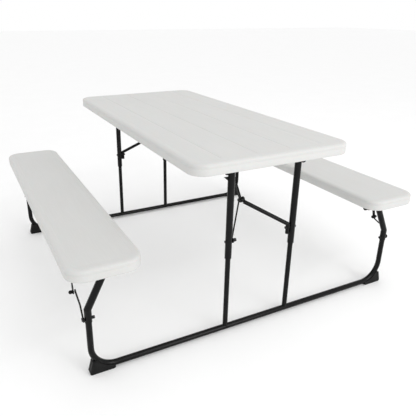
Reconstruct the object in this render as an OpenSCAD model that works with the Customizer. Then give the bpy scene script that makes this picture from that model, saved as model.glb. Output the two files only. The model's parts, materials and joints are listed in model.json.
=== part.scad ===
// Folding picnic table with two bench seats: moulded panels on a black tube frame.
// X runs across the benches, Y along the table, Z up. The origin is on the floor at the centre.

/* [Panels] */
// Length of the tabletop and of both benches
panel_length = 1372; // [1320:1:1420]
// Width of the tabletop
top_width = 660; // [620:1:700]
// Height of the tabletop's upper face
top_height = 728; // [720:1:745]
// Depth of the edge of every panel
panel_depth = 42; // [38:1:46]
// Width of each bench
bench_width = 250; // [230:1:270]
// Height of a bench's upper face
bench_height = 453; // [453:1:453]
// Distance from the middle of the table to the middle of a bench
bench_offset = 624; // [618:1:630]
// Radius of a panel's corners seen from above
corner_radius = 60; // [40:1:70]
// Rounding of a panel's upper edge
edge_round = 9; // [6:1:11]
// Wall of the hollow moulded panels
panel_wall = 3; // [2.5:0.5:6]
// Width between two plank grooves
plank_width = 141; // [120:1:150]

/* [Frame] */
// Distance from the middle of the table to an end frame
frame_y = 608; // [590:1:625]
// Distance from the middle to a leg
leg_x = 145; // [135:1:160]
// Height of the hinge bar that a frame folds about
hinge_z = 668; // [668:1:668]
// Diameter of a leg's upper tube
upper_leg_d = 25.4; // [24:0.2:28]
// Diameter of a leg's lower tube
lower_leg_d = 19.6; // [18:0.2:21]
// Height of the lower end of a leg's upper tube
leg_step_z = 322; // [300:1:340]
// Diameter of the floor tube, the hinge bar and the bench bars
tube_d = 22; // [20:0.5:22]
// Distance from the middle to an upright
upright_x = 680; // [670:1:690]
// Radius of the floor tube's corner bends
bend_radius = 90; // [70:1:100]
// Height of the floor tube's centre line
floor_tube_z = 15; // [14:0.5:18]
// Diameter of a bench arm's sleeve
sleeve_d = 25.4; // [25:0.2:27]
// Height of the lower end of a bench arm's sleeve
sleeve_z = 214; // [205:1:220]
// Height at which a bench arm starts to lean inward
arm_knee_z = 262; // [258:1:270]
// Distance from the middle to the top of a bench arm
arm_top_x = 612; // [605:1:620]
// Wall of the frame tubes
tube_wall = 1.2; // [1.0:0.1:2.5]

/* [Braces] */
// Height of the bolts that the table braces turn on
brace_bolt_z = 392; // [385:1:400]
// Diameter of a table brace's tube
brace_d = 16; // [14:0.5:18]
// Diameter of the wire stays and of the bench stay rods
wire_d = 6; // [5:0.5:7]
// Diameter of the bolts and rivets
bolt_d = 8; // [6:0.5:8]
// Height of the bolts through the bench arms
arm_bolt_z = 228; // [224:1:232]
// Thickness of the flat brace bars
bar_thickness = 5; // [4:0.5:6]

/* [Hidden] */
$fn = 48;

panel_under = top_height - panel_depth;
bench_under = bench_height - panel_depth;
near_y = -frame_y;
far_y = frame_y;
tube_r = tube_d / 2;
upper_leg_r = upper_leg_d / 2;
lower_leg_r = lower_leg_d / 2;
sleeve_r = sleeve_d / 2;
bolt_r = bolt_d / 2;
wire_r = wire_d / 2;
brace_r = brace_d / 2;
run_gap = 0.05;          // radial clearance of a pin in its hole
side_gap = 0.5;          // space between pieces that slide past each other
plate = 3;               // thickness of folded bracket plate
bend_swell = 0.15;       // how far the ball at a bend stands proud of its tubes

groove_end = 46;         // plank grooves stop this far from the end of the panel
groove_depth = 2.2;

leg_socket = 50;         // length of lower tube inside the upper tube
plug = 4;                // solid ends of the sealed tubes
hinge_bar_half = 182;
ear_x = 166;             // middle of a hinge bracket's ear

bench_pivot_z = bench_under - 14.5;
bench_bar_half = 76;
clip_inset = 22;         // bench hinge clips from each end of the bench bar

elbow_dy = 81;           // elbow of a table brace from its end frame
elbow_z = 509;
elbow_x = -48;
brace_top_dy = 199;      // bracket of a table brace from the end frame
brace_top_z = panel_under - 14;
brace_pivot_x = leg_x - upper_leg_r - brace_r - side_gap;
knob_r = 6.5;
head_r = 5.5;            // heads of the bolts and rivets
head_h = 3;

stay_elbow_dy = 85;      // elbow of a bench stay from the near end frame
stay_elbow_z = 288;
stay_top_dy = 112;
stay_top_z = bench_under - 14;
stay_rod_x = 697;
stay_bar_x = 702.5;
stay_bar_t = 4;

panel_colour = [0.86, 0.85, 0.83];
metal_colour = [0.06, 0.06, 0.065];
plastic_colour = [0.03, 0.03, 0.03];
bolt_colour = [0.25, 0.25, 0.26];

// ---------- shared shapes ----------

// A cylinder from point a to point b.
module rod(a, b, r) {
    v = b - a;
    length = norm(v);
    translate(a)
        rotate([0, acos(v[2] / length), atan2(v[1], v[0])])
            cylinder(h = length, r = r);
}

module rod_x(x0, x1, y, z, r) {
    translate([x0, y, z])
        rotate([0, 90, 0])
            cylinder(h = x1 - x0, r = r);
}

// Children drawn for the right side, or mirrored to the left when side is negative.
module on_side(side) {
    mirror([side > 0 ? 0 : 1, 0, 0])
        children();
}

module rounded_outline(width, length, r) {
    square([width - 2 * r, length], center = true);
    square([width, length - 2 * r], center = true);
    for (sx = [-1, 1], sy = [-1, 1])
        translate([sx * (width / 2 - r), sy * (length / 2 - r)])
            circle(r);
}

// A panel's cross-section, flat below and rounded at both upper edges.
module edge_outline(width, depth, r) {
    translate([-width / 2, 0]) square([width, depth - r]);
    translate([r - width / 2, 0]) square([width - 2 * r, depth]);
    for (sx = [-1, 1])
        translate([sx * (width / 2 - r), depth - r])
            circle(r);
}

module panel_block(width, length, depth) {
    intersection() {
        linear_extrude(depth) rounded_outline(width, length, corner_radius);
        translate([0, length / 2 + 1, 0])
            rotate([90, 0, 0])
                linear_extrude(length + 2)
                    edge_outline(width, depth, edge_round);
        translate([-width / 2 - 1, 0, 0])
            rotate([90, 0, 90])
                linear_extrude(width + 2)
                    edge_outline(length, depth, edge_round);
    }
}

// A moulded panel with a sealed hollow inside.
module hollow_panel(width, under) {
    inset = panel_wall + 3;
    color(panel_colour)
        translate([0, 0, under])
            difference() {
                panel_block(width, panel_length, panel_depth);
                translate([0, 0, panel_wall])
                    linear_extrude(panel_depth - 2 * panel_wall)
                        rounded_outline(
                            width - 2 * inset, panel_length - 2 * inset, corner_radius - inset);
            }
}

// A flat bar in a plane across X, with an eye at each end. The upper eye turns on a rivet.
module flat_bar(x, thickness, lower, upper, lower_r, upper_r, width) {
    v = upper - lower;
    translate([x, 0, 0])
        rotate([90, 0, 90])
            linear_extrude(thickness)
                difference() {
                    union() {
                        translate(lower) circle(lower_r);
                        translate(upper) circle(upper_r);
                        translate(lower)
                            rotate(atan2(v[1], v[0]))
                                translate([0, -width / 2])
                                    square([norm(v), width]);
                    }
                    translate(lower) circle(bolt_r);
                    translate(upper) circle(bolt_r + run_gap);
                }
}

// ---------- panels ----------

module table_top() {
    groove_half = panel_length / 2 - groove_end;
    color(panel_colour)
        difference() {
            hollow_panel(top_width, panel_under);
            for (i = [-1.5 : 1 : 1.5])
                translate([i * plank_width, 0, top_height])
                    rotate([0, 45, 0])
                        cube([groove_depth * sqrt(2), 2 * groove_half, groove_depth * sqrt(2)], center = true);
        }
}

module bench_top(side) {
    translate([side * bench_offset, 0, 0])
        hollow_panel(bench_width, bench_under);
}

// ---------- end frames ----------

// Centre line of the floor tube as solids of radius r, shortened by trim at both tops.
module floor_path(r, trim) {
    run = upright_x - bend_radius;
    bend_z = floor_tube_z + bend_radius;
    rod_x(-run, run, 0, floor_tube_z, r);
    for (side = [-1, 1]) {
        translate([side * run, 0, bend_z])
            rotate([90, 0, 0])
                rotate(side > 0 ? -90 : 180)
                    rotate_extrude(angle = 90)
                        translate([bend_radius, 0])
                            circle(r);
        translate([side * upright_x, 0, bend_z])
            cylinder(h = arm_knee_z - 10 - trim - bend_z, r = r);
    }
}

module arm_bolt_holes() {
    for (side = [-1, 1])
        rod_x(side * upright_x - 30, side * upright_x + 30, 0, arm_bolt_z, bolt_r);
}

module floor_tube(y) {
    color(metal_colour)
        translate([0, y, 0])
            difference() {
                floor_path(tube_r, 0);
                arm_bolt_holes();
            }
}

// A moulded wedge under a corner bend, with a step at its inner end and a round flared toe.
module foot(side, y) {
    toe_r = 8;
    toe_x = 684;
    half_width = 13;
    color(plastic_colour)
        translate([0, y, 0])
            on_side(side)
                difference() {
                    translate([0, half_width, 0])
                        rotate([90, 0, 0])
                            linear_extrude(2 * half_width)
                                difference() {
                                    union() {
                                        translate([toe_x, toe_r]) circle(toe_r);
                                        polygon([[602, 2], [608, 0], [toe_x, 0], [toe_x + toe_r, toe_r],
                                            [680, 52], [664, 56], [600, 22], [600, 4]]);
                                    }
                                    translate([upright_x - bend_radius, floor_tube_z + bend_radius])
                                        circle(bend_radius, $fn = 96);
                                    polygon([[toe_x, -1], [toe_x + toe_r + 1, -1], [toe_x + toe_r + 1, toe_r],
                                        [toe_x + toe_r, toe_r],
                                        for (a = [15 : 15 : 90])
                                            [toe_x + toe_r * cos(a), toe_r - toe_r * sin(a)]]);
                                }
                    floor_path(tube_r, 0);
                }
}

module hinge_bar(y) {
    color(metal_colour)
        difference() {
            rod_x(-hinge_bar_half, hinge_bar_half, y, hinge_z, tube_r);
            rod_x(plug - hinge_bar_half, hinge_bar_half - plug, y, hinge_z, tube_r - tube_wall);
        }
}

module upper_leg(side, y) {
    x = side * leg_x;
    color(metal_colour)
        difference() {
            rod([x, y, leg_step_z], [x, y, hinge_z], upper_leg_r);
            rod([x, y, leg_step_z - 1], [x, y, leg_step_z + leg_socket], lower_leg_r);
            rod([x, y, brace_bolt_z + 14], [x, y, hinge_z - tube_r - 6], upper_leg_r - tube_wall);
            rod_x(-hinge_bar_half, hinge_bar_half, y, hinge_z, tube_r);
            rod_x(x - 20, x + 20, y, brace_bolt_z, bolt_r);
        }
}

// A triangular plate outside the near left leg, just under its hinge bar.
module leg_gusset() {
    color(metal_colour)
        difference() {
            translate([0, near_y + plate / 2, 0])
                rotate([90, 0, 0])
                    linear_extrude(plate)
                        polygon([[-leg_x, 624], [5 - leg_x - upper_leg_r, 624],
                            [-leg_x - upper_leg_r - 18, 644], [-leg_x, 644]]);
            rod([-leg_x, near_y, leg_step_z], [-leg_x, near_y, hinge_z], upper_leg_r);
        }
}

module lower_leg(side, y) {
    x = side * leg_x;
    color(metal_colour)
        difference() {
            rod([x, y, floor_tube_z], [x, y, leg_step_z + leg_socket], lower_leg_r);
            rod([x, y, floor_tube_z + 18], [x, y, leg_step_z + leg_socket - plug], lower_leg_r - tube_wall);
            rod_x(x - 20, x + 20, y, floor_tube_z, tube_r);
        }
}

module bench_arm(side, y) {
    knee = [side * upright_x, y, arm_knee_z];
    tip = [side * arm_top_x, y, bench_pivot_z];
    color(metal_colour)
        difference() {
            union() {
                rod([side * upright_x, y, sleeve_z], knee, sleeve_r);
                translate(knee) sphere(sleeve_r + bend_swell);
                rod(knee, tip, sleeve_r);
            }
            translate([0, y, 0]) floor_path(tube_r, 0);
            translate([0, y, 0]) arm_bolt_holes();
            rod_x(side * arm_top_x - 40, side * arm_top_x + 40, y, bench_pivot_z, tube_r);
            translate([side * arm_top_x, y, bench_pivot_z + 20])
                cube([90, 40, 40], center = true);
        }
}

module bench_bar(side, y) {
    middle = side * arm_top_x;
    color(metal_colour)
        difference() {
            rod_x(middle - bench_bar_half, middle + bench_bar_half, y, bench_pivot_z, tube_r);
            rod_x(
                middle - bench_bar_half + plug, middle + bench_bar_half - plug,
                y, bench_pivot_z, tube_r - tube_wall);
        }
}

// A bolt through each bench arm. The near ones also carry the stay rods.
module arm_bolts(y, outer, head) {
    color(bolt_colour)
        for (side = [-1, 1])
            on_side(side) {
                rod_x(upright_x - sleeve_r - 1, outer, y, arm_bolt_z, bolt_r);
                rod_x(upright_x - sleeve_r - 9, upright_x - sleeve_r - 0.2, y, arm_bolt_z, head_r);
                rod_x(outer, outer + head, y, arm_bolt_z, bolt_r * 1.7);
            }
}

// A bolt through each leg for the brace tube on one side and the wire on the other.
module brace_bolts(turn) {
    leg_in = leg_x - upper_leg_r;
    tube_in = brace_pivot_x - brace_r - side_gap;
    wire_in = leg_in - wire_d - 2 * side_gap;
    color(bolt_colour)
        rotate(turn) {
            rod_x(tube_in, leg_x + upper_leg_r + 1, near_y, brace_bolt_z, bolt_r);
            rod_x(tube_in - head_h, tube_in, near_y, brace_bolt_z, head_r);
            rod_x(leg_x + upper_leg_r + 0.2, leg_x + upper_leg_r + head_h, near_y, brace_bolt_z, head_r);
            rod_x(-leg_x - upper_leg_r - 1, -wire_in, near_y, brace_bolt_z, bolt_r);
            rod_x(-wire_in, -wire_in + 10, near_y, brace_bolt_z, knob_r);
            rod_x(-leg_x - upper_leg_r - head_h, -leg_x - upper_leg_r - 0.2, near_y, brace_bolt_z, head_r);
        }
}

// ---------- hinges under the panels ----------

module hinge_bracket(side, y) {
    x = side * ear_x;
    outward = y > 0 ? 1 : -1;
    color(metal_colour)
        difference() {
            union() {
                translate([x - 16, y - 32, panel_under - plate])
                    cube([32, 64, plate]);
                translate([x - plate / 2, y - 22, hinge_z])
                    cube([plate, 44, panel_under - hinge_z - plate / 2]);
                rod_x(x - plate / 2, x + plate / 2, y, hinge_z, 17);
            }
            rod_x(x - 10, x + 10, y, hinge_z, tube_r + run_gap);
            for (sy = [-1, 1])
                translate([x - side * 8, y + sy * 27, panel_under - 10])
                    cylinder(h = 20, r = 2.5);
        }
}

module hinge_bracket_screws() {
    color(bolt_colour)
        for (side = [-1, 1], y = [near_y, far_y], sy = [-1, 1])
            translate([side * (ear_x - 8), y + sy * 27, panel_under - plate]) {
                cylinder(h = plate, r = 2.5);
                translate([0, 0, -2.5])
                    cylinder(h = 2.5, r = 5);
            }
}

module bench_hinge_clips(side) {
    middle = side * arm_top_x;
    color(metal_colour)
        for (x = [middle - bench_bar_half + clip_inset, middle + bench_bar_half - clip_inset])
            difference() {
                union() {
                    translate([x - 12, near_y - 30, bench_under - 2.5])
                        cube([24, 60, 2.5]);
                    translate([x - plate / 2, near_y - 17, bench_pivot_z])
                        cube([plate, 34, bench_under - bench_pivot_z - 1]);
                    rod_x(x - plate / 2, x + plate / 2, near_y, bench_pivot_z, 14);
                }
                rod_x(x - 10, x + 10, near_y, bench_pivot_z, tube_r + run_gap);
            }
}

module bench_rest(side) {
    color(plastic_colour)
        translate([side * arm_top_x - 80, far_y - 16, bench_under - 3])
            cube([160, 32, 3]);
}

// ---------- table braces ----------

module brace_tube(turn) {
    pivot_top = [brace_pivot_x, near_y, brace_bolt_z + 14];
    elbow = [elbow_x + 12, near_y + elbow_dy - 6, elbow_z - 8];
    color(metal_colour)
        rotate(turn)
            difference() {
                union() {
                    rod([brace_pivot_x, near_y, brace_bolt_z - 26], pivot_top, brace_r);
                    translate(pivot_top) sphere(brace_r + bend_swell);
                    rod(pivot_top, elbow, brace_r);
                    rod_x(elbow_x + 3, elbow_x + 13, near_y + elbow_dy, elbow_z, 11);
                }
                rod_x(brace_pivot_x - 20, brace_pivot_x + 20, near_y, brace_bolt_z, bolt_r + run_gap);
                rod_x(elbow_x - 20, elbow_x + 3, near_y + elbow_dy, elbow_z, 40);
            }
}

module brace_bar(turn) {
    lower = [near_y + elbow_dy, elbow_z];
    upper = [near_y + brace_top_dy, brace_top_z];
    color(metal_colour)
        rotate(turn)
            flat_bar(elbow_x - bar_thickness / 2, bar_thickness, lower, upper, 11, 10, 14);
}

// The elbow's pin, fixed in the flat bar.
module brace_knob(turn) {
    half = bar_thickness / 2;
    color(bolt_colour)
        rotate(turn)
            rod_x(elbow_x - half, elbow_x + half, near_y + elbow_dy, elbow_z, bolt_r);
}

module brace_wire(turn) {
    leg_in = leg_x - upper_leg_r;
    x = -leg_in + wire_r + side_gap;
    eye_r = bolt_r + run_gap + wire_r;
    start = [x, near_y, brace_bolt_z] + eye_r * [0, sin(35), cos(35)];
    finish = [elbow_x - bar_thickness / 2 - wire_r - 1, near_y + elbow_dy, elbow_z];
    color(metal_colour)
        rotate(turn) {
            difference() {
                union() {
                    translate([x, near_y, brace_bolt_z])
                        rotate([0, 90, 0])
                            rotate_extrude()
                                translate([eye_r, 0])
                                    circle(wire_r, $fn = 24);
                    rod(start, finish, wire_r);
                    translate(finish) sphere(wire_r + bend_swell);
                }
                rod_x(x - 10, x + 10, near_y, brace_bolt_z, bolt_r + run_gap);
            }
            rod_x(finish[0] - 4, finish[0] - wire_r + 1, finish[1], finish[2], 6);
        }
}

module brace_bracket(turn) {
    y1 = near_y + brace_top_dy;
    x1 = elbow_x + bar_thickness / 2 + side_gap;
    color(metal_colour)
        rotate(turn)
            union() {
                translate([x1 - 16, y1 - 26, panel_under - 2.5])
                    cube([34, 52, 2.5]);
                translate([x1, y1 - 12, brace_top_z])
                    cube([plate, 24, panel_under - brace_top_z - 1]);
                rod_x(x1, x1 + plate, y1, brace_top_z, 12);
                rod_x(x1 - bar_thickness - 2 * side_gap - 3, x1 + 1, y1, brace_top_z, bolt_r);
                rod_x(
                    x1 - bar_thickness - 2 * side_gap - 3, x1 - bar_thickness - 2 * side_gap,
                    y1, brace_top_z, bolt_r * 1.6);
            }
}

// ---------- bench stays ----------

module stay_rod(side) {
    eye_r = bolt_r + run_gap + wire_r;
    y0 = near_y;
    y3 = near_y + stay_elbow_dy;
    start = [stay_rod_x, y0 + eye_r * sin(20), arm_bolt_z + eye_r * cos(20)];
    knee = [stay_rod_x, y0 + 26, stay_elbow_z - 20];
    bend = [stay_rod_x, y3 - 28, stay_elbow_z - 10];
    finish = [stay_rod_x, y3, stay_elbow_z];
    color(metal_colour)
        on_side(side)
            difference() {
                union() {
                    translate([stay_rod_x, y0, arm_bolt_z])
                        rotate([0, 90, 0])
                            rotate_extrude()
                                translate([eye_r, 0])
                                    circle(wire_r, $fn = 24);
                    rod(start, knee, wire_r);
                    translate(knee) sphere(wire_r + bend_swell);
                    rod(knee, bend, wire_r);
                    translate(bend) sphere(wire_r + bend_swell);
                    rod(bend, finish, wire_r);
                    rod_x(stay_rod_x - wire_r * 0.7, stay_rod_x + wire_r * 0.7, y3, stay_elbow_z, 7);
                }
                rod_x(stay_rod_x - 10, stay_rod_x + 10, y0, arm_bolt_z, bolt_r + run_gap);
            }
}

module stay_bar(side) {
    lower = [near_y + stay_elbow_dy, stay_elbow_z];
    upper = [near_y + stay_top_dy, stay_top_z];
    color(metal_colour)
        on_side(side)
            flat_bar(stay_bar_x, stay_bar_t, lower, upper, 9, 9, 12);
}

module stay_knob(side) {
    y0 = near_y + stay_elbow_dy;
    x1 = stay_bar_x + stay_bar_t;
    color(plastic_colour)
        on_side(side) {
            rod_x(stay_bar_x - 0.3, x1, y0, stay_elbow_z, bolt_r);
            rod_x(x1, x1 + 3, y0, stay_elbow_z, 6);
            translate([x1 + 3 + knob_r * 0.6, y0, stay_elbow_z])
                sphere(knob_r);
        }
}

module stay_bracket(side) {
    y1 = near_y + stay_top_dy;
    ear = stay_bar_x + stay_bar_t + side_gap;
    color(metal_colour)
        on_side(side)
            union() {
                translate([ear - 10, y1 - 24, bench_under - 2.5])
                    cube([26, 48, 2.5]);
                translate([ear, y1 - 11, stay_top_z])
                    cube([plate, 22, bench_under - stay_top_z - 1]);
                rod_x(ear, ear + plate, y1, stay_top_z, 11);
                rod_x(stay_bar_x - 2, ear + 1, y1, stay_top_z, bolt_r);
                rod_x(stay_bar_x - 2, stay_bar_x - side_gap, y1, stay_top_z, bolt_r * 1.5);
            }
}

// ---------- nodes ----------

table_top();
bench_top(-1);  // left_bench_top
bench_top(1);  // right_bench_top
hinge_bracket(-1, near_y);  // near_left_hinge_bracket
hinge_bracket(1, near_y);  // near_right_hinge_bracket
hinge_bracket(-1, far_y);  // far_left_hinge_bracket
hinge_bracket(1, far_y);  // far_right_hinge_bracket
hinge_bracket_screws();
hinge_bar(near_y);  // near_hinge_bar
upper_leg(-1, near_y);  // near_left_upper_leg
upper_leg(1, near_y);  // near_right_upper_leg
leg_gusset();  // near_left_leg_gusset
lower_leg(-1, near_y);  // near_left_lower_leg
lower_leg(1, near_y);  // near_right_lower_leg
floor_tube(near_y);  // near_floor_tube
foot(-1, near_y);  // near_left_foot
foot(1, near_y);  // near_right_foot
bench_arm(-1, near_y);  // near_left_bench_arm
bench_arm(1, near_y);  // near_right_bench_arm
bench_bar(-1, near_y);  // near_left_bench_bar
bench_bar(1, near_y);  // near_right_bench_bar
arm_bolts(near_y, stay_rod_x + wire_r + 0.2, 1.8);  // near_arm_bolts
brace_bolts(0);  // near_brace_bolts
hinge_bar(far_y);  // far_hinge_bar
upper_leg(-1, far_y);  // far_left_upper_leg
upper_leg(1, far_y);  // far_right_upper_leg
lower_leg(-1, far_y);  // far_left_lower_leg
lower_leg(1, far_y);  // far_right_lower_leg
floor_tube(far_y);  // far_floor_tube
foot(-1, far_y);  // far_left_foot
foot(1, far_y);  // far_right_foot
bench_arm(-1, far_y);  // far_left_bench_arm
bench_arm(1, far_y);  // far_right_bench_arm
bench_bar(-1, far_y);  // far_left_bench_bar
bench_bar(1, far_y);  // far_right_bench_bar
arm_bolts(far_y, upright_x + sleeve_r + 0.2, 4);  // far_arm_bolts
brace_bolts(180);  // far_brace_bolts
bench_hinge_clips(-1);  // left_bench_hinge_clips
bench_hinge_clips(1);  // right_bench_hinge_clips
bench_rest(-1);  // left_bench_rest
bench_rest(1);  // right_bench_rest
stay_bracket(-1);  // left_stay_bracket
stay_bracket(1);  // right_stay_bracket
stay_bar(-1);  // left_stay_bar
stay_bar(1);  // right_stay_bar
stay_knob(-1);  // left_stay_knob
stay_knob(1);  // right_stay_knob
stay_rod(-1);  // left_stay_rod
stay_rod(1);  // right_stay_rod
brace_tube(0);  // near_brace_tube
brace_wire(0);  // near_brace_wire
brace_bar(0);  // near_brace_bar
brace_knob(0);  // near_brace_knob
brace_bracket(0);  // near_brace_bracket
brace_tube(180);  // far_brace_tube
brace_wire(180);  // far_brace_wire
brace_bar(180);  // far_brace_bar
brace_knob(180);  // far_brace_knob
brace_bracket(180);  // far_brace_bracket
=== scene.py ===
"""Folding picnic table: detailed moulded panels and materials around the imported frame."""

import json
import math

import bpy
from mathutils import Matrix, Vector


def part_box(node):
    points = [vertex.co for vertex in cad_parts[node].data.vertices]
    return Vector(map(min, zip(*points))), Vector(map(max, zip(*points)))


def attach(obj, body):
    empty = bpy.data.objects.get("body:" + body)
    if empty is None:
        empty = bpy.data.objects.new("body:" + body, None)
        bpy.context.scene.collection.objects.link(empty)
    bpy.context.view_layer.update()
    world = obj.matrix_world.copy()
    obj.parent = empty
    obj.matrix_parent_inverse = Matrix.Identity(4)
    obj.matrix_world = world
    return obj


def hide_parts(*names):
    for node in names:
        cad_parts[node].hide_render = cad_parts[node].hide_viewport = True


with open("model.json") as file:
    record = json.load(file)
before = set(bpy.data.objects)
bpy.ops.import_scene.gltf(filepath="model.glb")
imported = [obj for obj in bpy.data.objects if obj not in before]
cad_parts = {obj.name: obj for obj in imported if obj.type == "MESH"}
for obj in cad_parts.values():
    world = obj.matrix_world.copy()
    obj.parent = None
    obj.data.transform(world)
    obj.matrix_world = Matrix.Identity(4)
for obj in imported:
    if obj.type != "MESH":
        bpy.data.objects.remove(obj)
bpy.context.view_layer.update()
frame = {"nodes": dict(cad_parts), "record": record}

MM = 0.001

# Panels: a soft lip round the upper edge, a parting line round the side, and plank grooves.
LIP_REACH = 14 * MM
LIP_DROP = 9 * MM
UNDER_ROUND = 3 * MM
PARTING_Z = 17 * MM
PARTING_DEPTH = 0.7 * MM
PARTING_HALF = 1.4 * MM
STEP_INSET = 24 * MM
STEP_DROP = 0.9 * MM
STEP_WIDTH = 5 * MM
PLANK_WIDTH = 141 * MM
GROOVE_DEPTH = 1.9 * MM
GROOVE_HALF = 2.6 * MM
GROOVE_STOP = 46 * MM
GROOVE_FADE = 10 * MM
CORNER_RADIUS = 60 * MM
CORNER_TURNS = 16
STEP_X = 20 * MM
STEP_Y = 40 * MM

# Stage, and the camera's place in metres and angles in degrees.
FLOOR_HALF = 30.0
CAMERA_PLACE = (-0.962, -1.879, 1.170)
CAMERA_YAW, CAMERA_PITCH, CAMERA_ROLL = 26.76, -21.74, 0.35
CAMERA_LENS = 39.84
CAMERA_SHIFT = (0.053, -0.030)


# ---------- materials ----------

class Nodes:
    """A material's node tree with short calls for the nodes used here."""

    def __init__(self, name):
        self.material = bpy.data.materials.new(name)
        self.material.use_nodes = True
        self.tree = self.material.node_tree
        self.shader = self.tree.nodes["Principled BSDF"]

    def add(self, kind, settings=None, **inputs):
        node = self.tree.nodes.new(kind)
        for key, value in (settings or {}).items():
            setattr(node, key, value)
        for key, value in inputs.items():
            socket = node.inputs[key.replace("_", " ")]
            if isinstance(value, bpy.types.NodeSocket):
                self.tree.links.new(value, socket)
            else:
                socket.default_value = value
        return node

    def coordinates(self, scale):
        where = self.add("ShaderNodeTexCoord").outputs["Object"]
        return self.add("ShaderNodeMapping", Vector=where, Scale=scale).outputs["Vector"]

    def noise(self, vector, scale, detail=4.0, roughness=0.55, distortion=0.0):
        node = self.add(
            "ShaderNodeTexNoise", Vector=vector, Scale=scale, Detail=detail,
            Roughness=roughness, Distortion=distortion)
        return node.outputs["Fac"]

    def ramp(self, factor, stops):
        node = self.add("ShaderNodeValToRGB", Fac=factor)
        elements = node.color_ramp.elements
        while len(elements) < len(stops):
            elements.new(0.5)
        for element, (place, colour) in zip(elements, stops):
            element.position = place
            element.color = (*colour, 1.0)
        return node.outputs["Color"]

    def spread(self, factor, low, high):
        node = self.add("ShaderNodeMapRange", Value=factor, To_Min=low, To_Max=high)
        return node.outputs["Result"]

    def bump(self, height, strength, distance, normal=None):
        extra = {"Normal": normal} if normal is not None else {}
        node = self.add("ShaderNodeBump", Height=height, Strength=strength, Distance=distance, **extra)
        return node.outputs["Normal"]

    def link(self, socket, value):
        self.tree.links.new(value, self.shader.inputs[socket])

    def set(self, **values):
        for key, value in values.items():
            self.shader.inputs[key.replace("_", " ")].default_value = value


def moulded_panel(name, tint):
    """White blow-moulded plastic with a shallow wood grain along Y and a fine pebble."""
    n = Nodes(name)
    grain_place = n.coordinates((1.0, 0.05, 1.0))
    grain = n.noise(grain_place, 190.0, detail=6.0, roughness=0.62, distortion=0.9)
    broad = n.noise(n.coordinates((1.0, 0.16, 1.0)), 26.0, detail=3.0, distortion=1.4)
    pebble = n.noise(n.coordinates((1.0, 1.0, 1.0)), 1500.0, detail=2.0)
    shade = n.noise(n.coordinates((1.0, 0.5, 1.0)), 5.0, detail=3.0)
    light = tuple(min(1.0, c * 1.03) for c in tint)
    dark = tuple(c * 0.965 for c in tint)
    mottle = n.add(
        "ShaderNodeMixRGB", {"blend_type": "MIX"}, Fac=0.5,
        Color1=n.ramp(grain, [(0.3, dark), (0.7, light)]),
        Color2=n.ramp(shade, [(0.3, light), (0.7, dark)]))
    n.link("Base Color", mottle.outputs["Color"])
    n.link("Roughness", n.spread(broad, 0.42, 0.56))
    normal = n.bump(broad, 0.18, 0.0010)
    normal = n.bump(grain, 0.30, 0.0004, normal)
    normal = n.bump(pebble, 0.12, 0.0001, normal)
    n.link("Normal", normal)
    n.set(Subsurface_Weight=0.05, Subsurface_Scale=0.004, Specular_IOR_Level=0.42)
    return n.material


def powder_coat(name):
    """Black powder coat: fine orange peel and uneven dust."""
    n = Nodes(name)
    place = n.coordinates((1.0, 1.0, 1.0))
    peel = n.noise(place, 900.0, detail=2.0)
    waves = n.noise(place, 130.0, detail=2.0)
    dust = n.noise(place, 14.0, detail=5.0, roughness=0.65)
    n.link("Base Color", n.ramp(dust, [(0.35, (0.002, 0.002, 0.0022)), (0.75, (0.005, 0.005, 0.0052))]))
    n.link("Roughness", n.spread(dust, 0.17, 0.28))
    n.link("Normal", n.bump(peel, 0.15, 0.0001, n.bump(waves, 0.08, 0.0003)))
    n.set(Metallic=0.0, Specular_IOR_Level=0.17)
    return n.material


def moulded_black(name):
    """Black nylon of the feet and knobs, with a coarse moulded texture and scuffs."""
    n = Nodes(name)
    place = n.coordinates((1.0, 1.0, 1.0))
    grain = n.noise(place, 700.0, detail=3.0)
    scuff = n.noise(place, 45.0, detail=6.0, roughness=0.7)
    n.link("Base Color", n.ramp(scuff, [(0.4, (0.006, 0.006, 0.006)), (0.8, (0.016, 0.016, 0.0155))]))
    n.link("Roughness", n.spread(scuff, 0.48, 0.68))
    n.link("Normal", n.bump(grain, 0.35, 0.0003))
    n.set(Specular_IOR_Level=0.15)
    return n.material


def blackened_steel(name):
    """Blackened bolts, rivets and screws with turned marks."""
    n = Nodes(name)
    place = n.coordinates((1.0, 1.0, 1.0))
    marks = n.noise(n.coordinates((1.0, 6.0, 6.0)), 260.0, detail=3.0)
    wear = n.noise(place, 60.0, detail=5.0)
    n.link("Base Color", n.ramp(wear, [(0.45, (0.010, 0.010, 0.011)), (0.85, (0.045, 0.045, 0.048))]))
    n.link("Roughness", n.spread(marks, 0.28, 0.45))
    n.link("Normal", n.bump(marks, 0.2, 0.0002))
    n.set(Metallic=0.3, Specular_IOR_Level=0.3)
    return n.material


# ---------- moulded panels ----------

def outline_distance(x, y, half_x, half_y, radius):
    """Distance inward from a rounded rectangle's outline."""
    qx = abs(x) - (half_x - radius)
    qy = abs(y) - (half_y - radius)
    if qx > 0 and qy > 0:
        return radius - math.hypot(qx, qy)
    return radius - max(qx, qy)


def half_reach(x, half_x, half_y, radius):
    """How far the outline reaches in Y at this x."""
    over = max(0.0, abs(x) - (half_x - radius))
    return half_y - radius + math.sqrt(max(0.0, radius * radius - over * over))


def smooth(t):
    t = min(1.0, max(0.0, t))
    return t * t * (3 - 2 * t)


def spaced(start, end, step):
    count = max(1, round((end - start) / step))
    return [start + (end - start) * i / count for i in range(count + 1)]


def mirrored(values):
    """Places on both sides of zero, in order, with near repeats dropped."""
    kept = []
    for value in sorted({round(v, 6) for v in values} | {round(-v, 6) for v in values}):
        if not kept or value - kept[-1] > 0.0002:
            kept.append(value)
    return kept


def edge_places(half, radius):
    """Places from a corner's start to the edge, closest together at the edge."""
    bends = [math.cos(math.radians(90 * i / CORNER_TURNS)) for i in range(CORNER_TURNS + 1)]
    return [half - radius * (1 - bend) for bend in bends]


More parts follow.
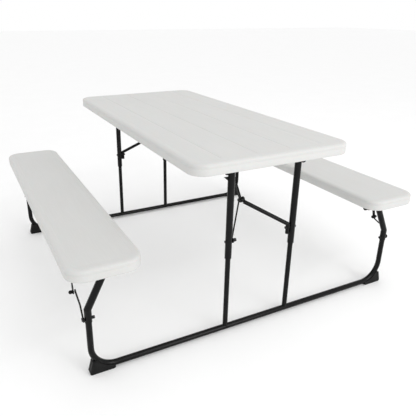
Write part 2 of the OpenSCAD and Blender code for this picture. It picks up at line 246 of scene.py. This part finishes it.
def upper_surface(x, y, d, half_y, grooves):
    """How far the upper face lies below its highest level."""
    drop = 0.0
    if d < LIP_REACH:
        u = 1 - d / LIP_REACH
        drop += LIP_DROP * (1 - math.sqrt(max(0.0, 1 - u * u)))
    drop += STEP_DROP * smooth((d - STEP_INSET) / STEP_WIDTH)
    end = half_y - GROOVE_STOP - abs(y)
    for gx in grooves:
        near = 1 - abs(x - gx) / GROOVE_HALF
        if near > 0 and end > -GROOVE_FADE:
            drop += (GROOVE_DEPTH - STEP_DROP) * smooth(near) * smooth(1 + end / GROOVE_FADE)
    return drop


def panel(name, node, body, radius, grooves, material):
    """One closed moulded panel in the box of its CAD node."""
    low, high = (Vector(v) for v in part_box(node))
    middle = (low + high) / 2
    half_x = (high.x - low.x) / 2
    half_y = (high.y - low.y) / 2

    xs = edge_places(half_x, radius) + spaced(0, half_x - radius, STEP_X)
    xs += [half_x - STEP_INSET - STEP_WIDTH * i / 4 for i in range(5)]
    for gx in grooves:
        xs += [abs(gx) + GROOVE_HALF * f for f in (-1, -0.7, -0.4, -0.15, 0.15, 0.4, 0.7, 1)]
    xs = mirrored(xs)
    ys = edge_places(half_y, radius) + spaced(0, half_y - radius, STEP_Y)
    ys += [half_y - STEP_INSET - STEP_WIDTH * i / 4 for i in range(5)]
    ys += [half_y - GROOVE_STOP + GROOVE_FADE * f for f in (0, 0.25, 0.5, 0.75, 1)]
    ys = mirrored(ys)

    verts = []
    faces = []

    def sheet_of(height):
        first = len(verts)
        for x in xs:
            reach = half_reach(x, half_x, half_y, radius)
            for y in ys:
                place_y = y * reach / half_y
                d = max(0.0, outline_distance(x, place_y, half_x, half_y, radius))
                verts.append((middle.x + x, middle.y + place_y, height(x, place_y, d)))
        return first

    def top_height(x, y, d):
        return high.z - upper_surface(x, y, d, half_y, grooves)

    def under_height(_x, _y, d):
        if d >= UNDER_ROUND:
            return low.z
        u = 1 - d / UNDER_ROUND
        return low.z + UNDER_ROUND * (1 - math.sqrt(max(0.0, 1 - u * u)))

    top = sheet_of(top_height)
    under = sheet_of(under_height)
    nx, ny = len(xs), len(ys)
    for i in range(nx - 1):
        for j in range(ny - 1):
            a = i * ny + j
            b = a + ny
            faces.append((top + a, top + b, top + b + 1, top + a + 1))
            faces.append((under + a, under + a + 1, under + b + 1, under + b))

    ring = [i * ny for i in range(nx)]
    ring += [(nx - 1) * ny + j for j in range(1, ny)]
    ring += [i * ny + ny - 1 for i in range(nx - 2, -1, -1)]
    ring += [j for j in range(ny - 2, 0, -1)]
    levels = [(high.z - PARTING_Z + PARTING_HALF, 0.0), (high.z - PARTING_Z, PARTING_DEPTH),
              (high.z - PARTING_Z - PARTING_HALF, 0.0)]
    rows = [[top + k for k in ring]]
    for z, inset in levels:
        row = []
        for k in ring:
            x, y, _z = verts[top + k]
            px, py = x - middle.x, y - middle.y
            cx = max(-half_x + radius, min(half_x - radius, px))
            cy = max(-half_y + radius, min(half_y - radius, py))
            out = Vector((px - cx, py - cy))
            if out.length > 0:
                out.normalize()
            row.append(len(verts))
            verts.append((x - out.x * inset, y - out.y * inset, z))
        rows.append(row)
    rows.append([under + k for k in ring])
    count = len(ring)
    for upper, lower in zip(rows, rows[1:]):
        for k in range(count):
            nxt = (k + 1) % count
            faces.append((upper[k], lower[k], lower[nxt], upper[nxt]))

    mesh = bpy.data.meshes.new(name)
    mesh.from_pydata(verts, [], faces)
    mesh.validate()
    mesh.update()
    mesh.polygons.foreach_set("use_smooth", [True] * len(mesh.polygons))
    mesh.materials.append(material)
    piece = bpy.data.objects.new(name, mesh)
    bpy.context.scene.collection.objects.link(piece)
    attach(piece, body)
    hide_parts(node)
    return piece


# ---------- stage ----------

def add_floor():
    mesh = bpy.data.meshes.new("floor")
    corners = [(-1, -1), (1, -1), (1, 1), (-1, 1)]
    mesh.from_pydata([(x * FLOOR_HALF, y * FLOOR_HALF, 0) for x, y in corners], [], [(0, 1, 2, 3)])
    floor = bpy.data.objects.new("floor", mesh)
    bpy.context.scene.collection.objects.link(floor)
    n = Nodes("pale_floor")
    cloud = n.noise(n.coordinates((1.0, 1.0, 1.0)), 3.0)
    n.link("Base Color", n.ramp(cloud, [(0.3, (0.955, 0.955, 0.955)), (0.8, (0.97, 0.97, 0.97))]))
    n.set(Roughness=0.9, Specular_IOR_Level=0.1)
    mesh.materials.append(n.material)


def add_light(name, place, size, power, target=(0.0, 0.0, 0.4)):
    data = bpy.data.lights.new(name, "AREA")
    data.shape = "RECTANGLE"
    data.size, data.size_y = size
    data.energy = power
    lamp = bpy.data.objects.new(name, data)
    lamp.location = place
    away = Vector(place) - Vector(target)
    lamp.rotation_euler = away.to_track_quat("Z", "Y").to_euler()
    bpy.context.scene.collection.objects.link(lamp)


def add_world(strength):
    world = bpy.data.worlds.new("studio")
    world.use_nodes = True
    back = world.node_tree.nodes["Background"]
    back.inputs["Color"].default_value = (1.0, 1.0, 1.0, 1.0)
    back.inputs["Strength"].default_value = strength
    bpy.context.scene.world = world


def add_camera():
    yaw, pitch, roll = (math.radians(a) for a in (CAMERA_YAW, CAMERA_PITCH, CAMERA_ROLL))
    level = math.cos(pitch)
    ahead = Vector((math.sin(yaw) * level, math.cos(yaw) * level, math.sin(pitch)))
    right = Vector((math.cos(yaw), -math.sin(yaw), 0.0))
    up = right.cross(ahead)
    right_rolled = right * math.cos(roll) + up * math.sin(roll)
    up_rolled = up * math.cos(roll) - right * math.sin(roll)
    turn = Matrix((right_rolled, up_rolled, -ahead)).transposed()
    data = bpy.data.cameras.new("camera")
    data.sensor_width = 36.0
    data.lens = CAMERA_LENS
    data.shift_x, data.shift_y = CAMERA_SHIFT
    camera = bpy.data.objects.new("camera", data)
    camera.matrix_world = Matrix.Translation(CAMERA_PLACE) @ turn.to_4x4()
    bpy.context.scene.collection.objects.link(camera)
    bpy.context.scene.camera = camera


# ---------- the scene ----------

add_camera()
add_floor()
bpy.context.scene.view_settings.view_transform = "Standard"
add_world(1.0)
add_light("key", (1.6, -4.6, 1.8), (1.6, 0.9), 46.0)
add_light("glint", (0.9, -3.0, 3.6), (3.2, 0.07), 22.0)

FINISHES = {
    "panel_plastic": moulded_panel("moulded_panel", (0.60, 0.60, 0.587)),
    "black_powder_coat": powder_coat("powder_coat"),
    "black_plastic": moulded_black("moulded_black"),
    "hardware": blackened_steel("blackened_steel"),
}
for part in frame["record"]["subparts"]:
    node = frame["nodes"][part["node"]]
    for material_slot in node.material_slots:
        material_slot.material = FINISHES[part["material_slot"]]

PLASTIC = FINISHES["panel_plastic"]
plank_lines = [PLANK_WIDTH * i for i in (-1.5, -0.5, 0.5, 1.5)]
panel("tabletop_panel", "table_top", "table", CORNER_RADIUS, plank_lines, PLASTIC)
panel("left_bench_panel", "left_bench_top", "left_bench", CORNER_RADIUS, [], PLASTIC)
panel("right_bench_panel", "right_bench_top", "right_bench", CORNER_RADIUS, [], PLASTIC)
